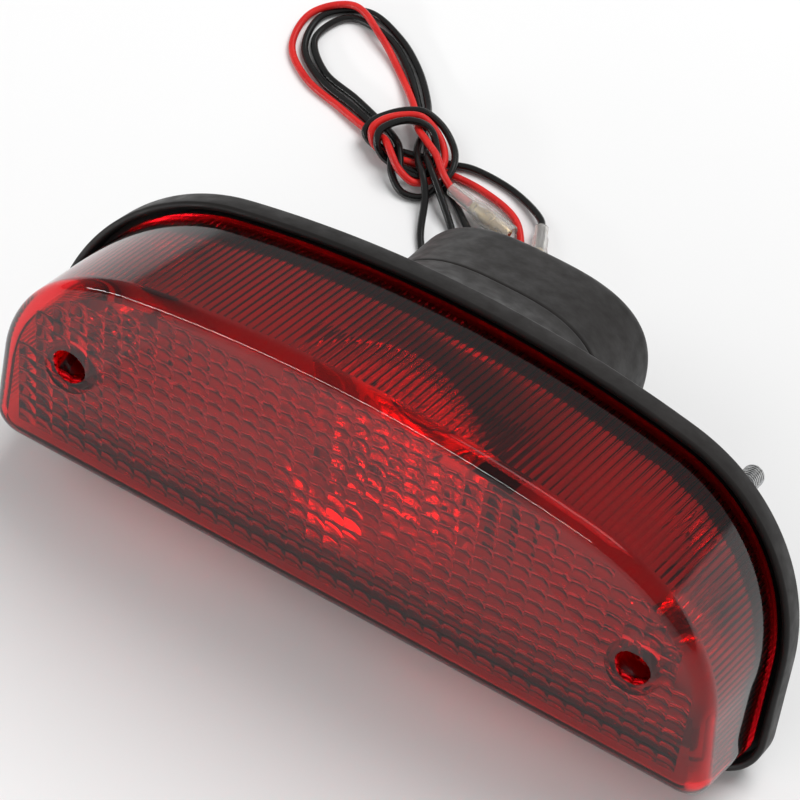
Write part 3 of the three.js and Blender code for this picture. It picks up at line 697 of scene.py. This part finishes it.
def bulb_base():
    """The bulb's brass cap with its crimped front, rolled back edge and two offset pins."""
    r = 7.5
    profile = [(0, CAP_FRONT + 0.1), (6.9, CAP_FRONT + 0.1), (7.3, CAP_FRONT + 0.3), (r, CAP_FRONT + 0.8),
               (r, 2.0), (r - 0.25, 2.4), (r - 0.25, 3.2), (r, 3.6), (r, CAP_BACK - 2.6),
               (r - 0.3, CAP_BACK - 1.9),
               (r - 1.2, CAP_BACK - 1.1), (0, CAP_BACK - 1.0)]
    cap = outward(turned("bulb_cap_made", profile, 0, BULB_Z))
    for way, depth in ((1, 0.0), (-1, 3.0)):
        y = CAP_BACK - 7.3 - depth
        rings = []
        for reach, radius in ((0.0, 0.92), (8.2, 0.92), (8.42, 0.78), (8.5, 0.55)):
            ring = []
            for i in range(20):
                turn = 2 * math.pi * i / 20
                ring.append((way * reach, y + radius * math.cos(turn), BULB_Z + radius * math.sin(turn)))
            rings.append(ring)
        cap = combined(cap, outward(lofted("pin", rings)), "UNION")
    return finish_piece(cap, BRASS, "bulb", ["bulb_cap"], crease=32)


def solder_dome(side, name):
    """A rounded solder contact on the bulb's base."""
    y, radius = CAP_BACK - 0.7, 1.6
    profile = [(0, y), (radius, y)]
    profile += [(radius * math.cos(t), y + 0.25 + 1.05 * math.sin(t)) for t in np.linspace(0, 1.4, 6)]
    dome = turned(f"solder_{name}", profile + [(0, CAP_BACK + 0.58)], side * 3.0, BULB_Z, sides=32)
    return finish_piece(outward(dome), SOLDER, "bulb", [f"bulb_contact_{name}"], crease=40)


def bent_wire(name, points, radius, place=LAMP):
    """A round wire along points in millimetres of the frame that place gives, as one open spline."""
    curve = bpy.data.curves.new(name, "CURVE")
    curve.dimensions = "3D"
    curve.bevel_depth = radius * MM
    curve.bevel_resolution = 4
    curve.use_fill_caps = True
    spline = curve.splines.new("POLY")
    spline.points.add(len(points) - 1)
    for point, (x, y, z) in zip(spline.points, points):
        point.co = (x * MM, y * MM, z * MM, 1)
    spline.use_smooth = True
    made = bpy.data.objects.new(name, curve)
    bpy.context.scene.collection.objects.link(made)
    made.matrix_world = place
    return made


def finish_wire(wire, material, body, node):
    """A material, the body a curve rides on and the node it stands for."""
    wire.data.materials.append(material)
    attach(wire, body)
    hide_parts(node)
    return wire


def as_mesh(wire):
    """The same piece with its curve turned into a mesh."""
    bpy.context.view_layer.update()
    shape = bpy.data.meshes.new_from_object(wire.evaluated_get(bpy.context.evaluated_depsgraph_get()))
    name, place = wire.name, wire.matrix_world.copy()
    bpy.data.objects.remove(wire)
    made = bpy.data.objects.new(name, shape)
    bpy.context.scene.collection.objects.link(made)
    made.matrix_world = place
    return made


def filament(name, x, half_span, y):
    """Two support wires from the stem, with a finely coiled filament across their tops."""
    foot = CAP_FRONT - 13.0
    points = [(x, foot, BULB_Z - 1.2), (x, y + 4, BULB_Z - half_span * 0.9), (x, y, BULB_Z - half_span)]
    turns = 22
    for k in range(turns * 8 + 1):
        share = k / (turns * 8)
        turn = 2 * math.pi * turns * share
        sag = -0.5 * math.sin(math.pi * share)
        points.append((x + 0.34 * math.cos(turn), y + sag + 0.34 * math.sin(turn),
                       BULB_Z - half_span + 2 * half_span * share))
    points += [(x, y, BULB_Z + half_span), (x, y + 4, BULB_Z + half_span * 0.9), (x, foot, BULB_Z + 1.2)]
    coil = bent_wire(f"coil_{name}", points, 0.14)
    return finish_wire(coil, TUNGSTEN, "bulb", f"filament_{name}")


def contact_spring():
    """The coil spring behind the contact plate."""
    low, high = lamp_box("contact_spring")
    radius = (high.x - low.x) / 2 - 0.5
    turns = 3.5
    steps = 160
    points = []
    for k in range(steps + 1):
        share = k / steps
        closed = share + 0.035 * math.sin(4 * math.pi * share)  # its end turns lie flatter
        turn = 2 * math.pi * turns * share
        points.append((radius * math.cos(turn), low.y + 0.5 + (high.y - low.y - 1.0) * closed,
                       BULB_Z + radius * math.sin(turn)))
    coil = as_mesh(bent_wire("contact_coil", points, 0.5))
    finish_piece(coil, ZINC, "tray", ["contact_spring"], crease=60)
    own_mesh(coil)
    return coil


# ---- free leads -------------------------------------------------------------------------------------------
# Points on each lead's centreline in the row frame, in millimetres: out of the boot's nozzle, along the
# surface, through the round-turn knot, round the loop and back to its connector.
# They are not a list chosen by hand: points picked by hand were moved by a scratch relaxation script and
# thinned, and part.mjs holds the same numbers. report.md says what that breaks and how to repair it.
LEADS = {
    "red": (RED_PVC, "red_pvc", ((-51, 88, 5.2), (-28.5, 83.6, 3.5)), [
        (-9, 45, 7.6), (-9.2, 48.6, 5.9), (-9.6, 52.3, 4.6), (-10.2, 56.1, 3.9), (-17.7, 67.2, 1.3),
        (-23, 79.9, 1.3), (-30.9, 90.6, 1.3), (-44.2, 94.7, 1.3), (-58, 94.6, 1.3), (-63.8, 93.3, 1.3),
        (-67.7, 92.4, 1.3), (-71.6, 91.4, 1.5), (-75.4, 90.5, 2.5), (-78.6, 90.6, 4.8), (-80.5, 93.1, 7.2),
        (-79.7, 96.9, 7.5), (-76, 101.6, 7.4), (-70.8, 104.4, 7.2), (-65.3, 103.5, 5.2),
        (-60.6, 100.1, 3.9), (-57.6, 95.1, 4.1), (-57.5, 89.2, 3.8), (-61.3, 84.9, 4.1),
        (-66.8, 85.3, 6.2), (-70, 87.2, 7.6), (-73, 89.8, 7.7), (-75.9, 92.3, 6.5), (-79.2, 93.9, 4.8),
        (-82.5, 94.9, 2.8), (-95.6, 98.9, 1.3), (-109, 102.7, 1.3), (-119.6, 111.2, 1.3),
        (-121.3, 124.7, 1.8), (-111.1, 132, 4.1), (-98.5, 126.8, 3), (-87.1, 119.1, 1.4),
        (-76.8, 109.7, 3.4), (-73, 105.1, 4), (-69.6, 100.7, 6.3), (-64.6, 97.4, 7.2), (-59.5, 94.2, 7.5),
        (-55, 90.2, 6.8), (-50, 87.8, 5.1)]),
    "black_1": (BLACK_PVC, "black_pvc", ((-22.8, 91.2, 3.4), (-13, 70, 3.4)), [
        (-10.3, 44.6, 5.6), (-11, 48, 3.7), (-12, 51.5, 2.1), (-14.2, 54.8, 1.4), (-27.2, 58.7, 1.3),
        (-40.9, 60.7, 1.3), (-50.2, 70.5, 1.3), (-56.1, 82.5, 4.5), (-59.7, 86.9, 6.4), (-63.7, 91.1, 5.2),
        (-67, 96, 4), (-68.7, 101.7, 3.8), (-70.6, 107.3, 3.5), (-73.5, 112.5, 2.1), (-82.8, 122.8, 1.3),
        (-94.4, 130.6, 1.3), (-107.8, 134.1, 1.3), (-118.1, 125.9, 1.3), (-116.1, 112.6, 1.3),
        (-105.1, 104.4, 1.3), (-91.5, 100.7, 1.3), (-78.5, 95.6, 2.4), (-75.5, 93.5, 4), (-72.7, 90.7, 5),
        (-70.6, 87.3, 4.8), (-68.4, 84.4, 3.4), (-63.4, 81.8, 1.5), (-57.8, 83.2, 1.6), (-54.9, 88, 3.4),
        (-54.4, 93.9, 4), (-56.5, 99.5, 3.9), (-60.6, 103.9, 3.8), (-65.7, 106.6, 4.9), (-71.5, 107, 6.4),
        (-76.8, 104.4, 6.1), (-80.9, 100, 5.7), (-82.6, 96.4, 5.7), (-82.6, 92.6, 4.8), (-79.6, 91.8, 2.5),
        (-76, 92.9, 1.3), (-72.1, 94.2, 1.3), (-68.2, 95.2, 1.3), (-62.4, 96.7, 1.3), (-56.6, 98.2, 1.3),
        (-50.8, 100, 1.3), (-37, 99.3, 1.3), (-24.6, 93.6, 2.9), (-22.4, 90.3, 3.4)]),
    "black_2": (BLACK_PVC, "black_pvc", ((-38.8, 78.6, 3.2), (-22.3, 65.2, 3.4)), [
        (-7.7, 44.6, 5.6), (-7.9, 47.9, 3.5), (-8.7, 51.5, 1.8), (-10.5, 54.9, 1.3), (-22.1, 61.6, 1.3),
        (-35, 66.3, 1.3), (-43.6, 77.1, 1.3), (-53.7, 85.6, 5.2), (-58.2, 89.3, 6.6), (-62.3, 93.5, 5.7),
        (-65.1, 98.2, 3.1), (-68.3, 102.8, 1.3), (-72.5, 107.1, 1.3), (-76.2, 111.7, 1.3),
        (-85.9, 121.7, 1.3), (-97.7, 128.9, 1.3), (-111.3, 129.2, 1.3), (-115.3, 117.3, 1.3),
        (-105.9, 107.7, 1.3), (-92.6, 104, 1.3), (-79.5, 99.3, 1.6), (-74.6, 96.2, 3.2), (-71.7, 93.6, 4),
        (-69.4, 90.4, 4.1), (-67, 87.3, 3.6), (-61.7, 87.9, 3.3), (-60, 93.3, 4), (-62.2, 98.5, 5.6),
        (-66.5, 101.5, 8.1), (-72.2, 100.2, 9), (-76.3, 95.9, 9), (-77.6, 92.1, 8.7), (-76.4, 89.3, 6.3),
        (-73.6, 88.5, 3.4), (-69.9, 89.1, 1.7), (-63.9, 90.2, 1.3), (-57.9, 90.4, 1.3), (-52.1, 88.8, 1.3),
        (-41.1, 80.5, 2.6), (-38, 78, 3.2)]),
}
WIRE = 2.2
CRIMP = 7.5  # how far a lead reaches into its sleeve


def centripetal(points, spacing=0.8):
    """Centripetal Catmull-Rom curve through the points, at about the given spacing."""
    knots = [2 * np.array(points[0]) - np.array(points[1]), *map(np.array, points),
             2 * np.array(points[-1]) - np.array(points[-2])]
    made = []
    for p0, p1, p2, p3 in zip(knots, knots[1:], knots[2:], knots[3:]):
        t = np.cumsum([0] + [math.sqrt(np.linalg.norm(b - a)) for a, b in ((p0, p1), (p1, p2), (p2, p3))])
        steps = max(2, round(np.linalg.norm(p2 - p1) / spacing))
        for k in range(steps):
            s = t[1] + (t[2] - t[1]) * k / steps
            a1 = (t[1] - s) / (t[1] - t[0]) * p0 + (s - t[0]) / (t[1] - t[0]) * p1
            a2 = (t[2] - s) / (t[2] - t[1]) * p1 + (s - t[1]) / (t[2] - t[1]) * p2
            a3 = (t[3] - s) / (t[3] - t[2]) * p2 + (s - t[2]) / (t[3] - t[2]) * p3
            b1 = (t[2] - s) / (t[2] - t[0]) * a1 + (s - t[0]) / (t[2] - t[0]) * a2
            b2 = (t[3] - s) / (t[3] - t[1]) * a2 + (s - t[1]) / (t[3] - t[1]) * a3
            made.append((t[2] - s) / (t[2] - t[1]) * b1 + (s - t[1]) / (t[2] - t[1]) * b2)
    made.append(knots[-2])
    return [tuple(p) for p in made]


def connector_place(start, end):
    """Frame of a connector: Y along it from its narrow end, in the row frame."""
    along = (Vector(end) - Vector(start)).normalized()
    across = along.cross(Vector((0, 0, 1))).normalized()
    turn = Matrix((across, along, across.cross(along))).transposed().to_4x4()
    return Matrix.Translation(Vector(start) * MM) @ turn


def sleeve(name, place, length):
    """A soft clear sleeve with a tight neck on the wire, a shoulder and a wider open barrel."""
    profile = [(1.3, 0.2), (1.6, 0), (1.95, 0.25), (1.95, 3.4), (2.1, 3.9), (2.3, 4.4), (2.32, 7.6),
               (2.5, 8.6), (2.85, 10.6), (3.05, 11.6), (3.1, 12.4), (3.06, 15), (3.1, length - 0.3),
               (2.9, length),
               (2.65, length - 0.2), (2.6, 12.4), (2.3, 11), (1.75, 8.4), (1.4, 7.4), (1.3, 4)]
    piece = turned(f"clear_sleeve_{name}", profile, closed=True, sides=48, place=place)
    return finish_piece(outward(piece), SLEEVE, "tray", [f"sleeve_{name}"], crease=50)


def bullet(name, place, length):
    """A tinned bullet: crimp on the wire, waist, round barrel with a ring, and an open rolled end."""
    tip = length - 0.6
    profile = [(0, CRIMP + 0.7), (1.15, CRIMP + 0.7), (1.5, CRIMP + 1.2), (1.5, 9.6), (1.15, 10.0),
               (1.15, 10.6), (1.9, 12.4), (2.05, 13.2), (2.05, 15.6), (1.8, 15.9), (1.8, 16.4),
               (2.05, 16.7), (2.05, tip - 1.4),
               (1.75, tip - 0.3), (1.3, tip), (0.8, tip - 0.4), (0, tip - 0.5)]
    piece = turned(f"bullet_end_{name}", profile, sides=40, place=place)
    return finish_piece(outward(piece), BRASS, "tray", [f"bullet_{name}"], crease=35)


def free_lead(name, material, slot, ends, route):
    """One lead along its route into its connector, with its sleeve and bullet."""
    start, end = (Vector(p) for p in ends)
    length = (end - start).length
    place = connector_place(start, end)
    last = start + (end - start).normalized() * CRIMP
    line = centripetal([*route, tuple(last)])
    wire = bent_wire(f"free_wire_{name}", line, WIRE / 2, Matrix.Identity(4))
    finish_wire(wire, material, "tray", f"wire_{name}")
    pieces = [sleeve(name, place, length), bullet(name, place, length)]


# ---- camera, light and floor --------------------------------------------------------------------------
FOCAL = 151.2
CAMERA_PLACE = (0.2398, -0.4277, 0.7531)  # this and the two directions are from a fit to points read one by one
CAMERA_BACK, CAMERA_RIGHT = (0.29051, -0.49011, 0.82183), (0.84909, 0.52805, 0.01476)
WORLD_LIGHT = 0.32


def camera():
    """The camera as fitted to the photograph."""
    data = bpy.data.cameras.new("camera")
    data.sensor_width = 36
    data.lens = FOCAL
    data.clip_start, data.clip_end = 0.05, 20
    made = bpy.data.objects.new("camera", data)
    bpy.context.scene.collection.objects.link(made)
    back = Vector(CAMERA_BACK).normalized()
    right = Vector(CAMERA_RIGHT)
    right = (right - right.dot(back) * back).normalized()
    turn = Matrix((right, back.cross(right), back)).transposed().to_4x4()
    made.matrix_world = Matrix.Translation(CAMERA_PLACE) @ turn
    bpy.context.scene.camera = made


def softbox(name, place, width, height, radiance, mirrored=True):
    """A soft panel that faces the lamp; an unmirrored one lights things without showing on shiny ones."""
    data = bpy.data.lights.new(name, "AREA")
    data.shape = "RECTANGLE"
    data.size, data.size_y = width, height
    data.energy = radiance * math.pi * width * height
    made = bpy.data.objects.new(name, data)
    bpy.context.scene.collection.objects.link(made)
    made.location = place
    made.rotation_euler = (Vector((0, 0, 0.05)) - Vector(place)).to_track_quat("-Z", "Y").to_euler()
    made.visible_glossy = mirrored


def studio():
    """World light and the four soft panels."""
    world = bpy.data.worlds.new("studio")
    world.use_nodes = True
    world.node_tree.nodes["Background"].inputs["Color"].default_value = (1, 1, 1, 1)
    world.node_tree.nodes["Background"].inputs["Strength"].default_value = WORLD_LIGHT
    bpy.context.scene.world = world
    softbox("key", (0.4, 0.9, 1.9), 1.3, 1.3, 6.8, mirrored=False)
    softbox("fill", (-1.4, -0.6, 1.4), 1.0, 1.0, 1.8, mirrored=False)
    softbox("front_strip", (-0.8, -1.35, 0.42), 1.9, 0.1, 16)
    softbox("back_box", (0.3, 1.5, 1.5), 1.2, 0.6, 1.6)
    bpy.context.scene.view_settings.view_transform = "Standard"


def floor():
    """The white surface that the lamp and its leads lie on."""
    size = 3000
    piece = mesh_object("floor", [(-size, -size, 0), (size, -size, 0), (size, size, 0), (-size, size, 0)],
                        [(0, 1, 2, 3)], Matrix.Identity(4))
    piece.data.materials.append(floor_look())


# ---- CAD nodes that keep their shape ------------------------------------------------------------------
KEPT = {
    "housing": (BLACK_PLASTIC, 30), "lens_seal": (RUBBER, 40), "screw_seal_left": (RUBBER, 40),
    "screw_seal_right": (RUBBER, 40), "socket_shell": (ZINC, 40), "socket_end": (BLACK_PLASTIC, 40),
    "contact_plate": (BLACK_PLASTIC, 40), "contact_pip_brake": (BRASS, 40), "contact_pip_tail": (BRASS, 40),
    "bulb_stem": (GLASS, 50), "lead_red": (RED_PVC, 60), "lead_black_1": (BLACK_PVC, 60),
    "lead_black_2": (BLACK_PVC, 60),
}


def dress_kept_nodes():
    """Materials and smooth shading for the CAD nodes that are shown as they are."""
    for name, (material, crease) in KEPT.items():
        node = frame["nodes"][name]
        node.data.materials.clear()
        node.data.materials.append(material)
        node.data.polygons.foreach_set("use_smooth", [True] * len(node.data.polygons))
        node.data.set_sharp_from_angle(angle=math.radians(crease))


def paint_tray_floor():
    """Gives the tray's floor, seen through the lens, its own paint; the wall round it stays black."""
    mesh = frame["nodes"]["housing"].data
    mesh.materials.append(TRAY_PAINT)
    back = LAMP.inverted()
    outline = half_moon_line(2.0)
    for polygon in mesh.polygons:
        centre = back @ polygon.center / MM
        if polygon.normal.dot(-REAR) > 0.9 and depth_inside(outline, centre.x, centre.z) > 4.0:
            polygon.material_index = 1


camera()
for lead_name, lead in LEADS.items():
    free_lead(lead_name, *lead)
studio()
floor()
lens()
gasket_and_boot()
nozzle()
for lamp_side in (-1, 1):
    stud(lamp_side)
    lens_screw(lamp_side)
dish()
bulb_envelope()
bulb_base()
solder_dome(-1, "brake")
solder_dome(1, "tail")
filament("brake", -1.6, 3.6, CAP_FRONT - 22)
filament("tail", 1.6, 2.8, CAP_FRONT - 19)
contact_spring()
dress_kept_nodes()
paint_tray_floor()
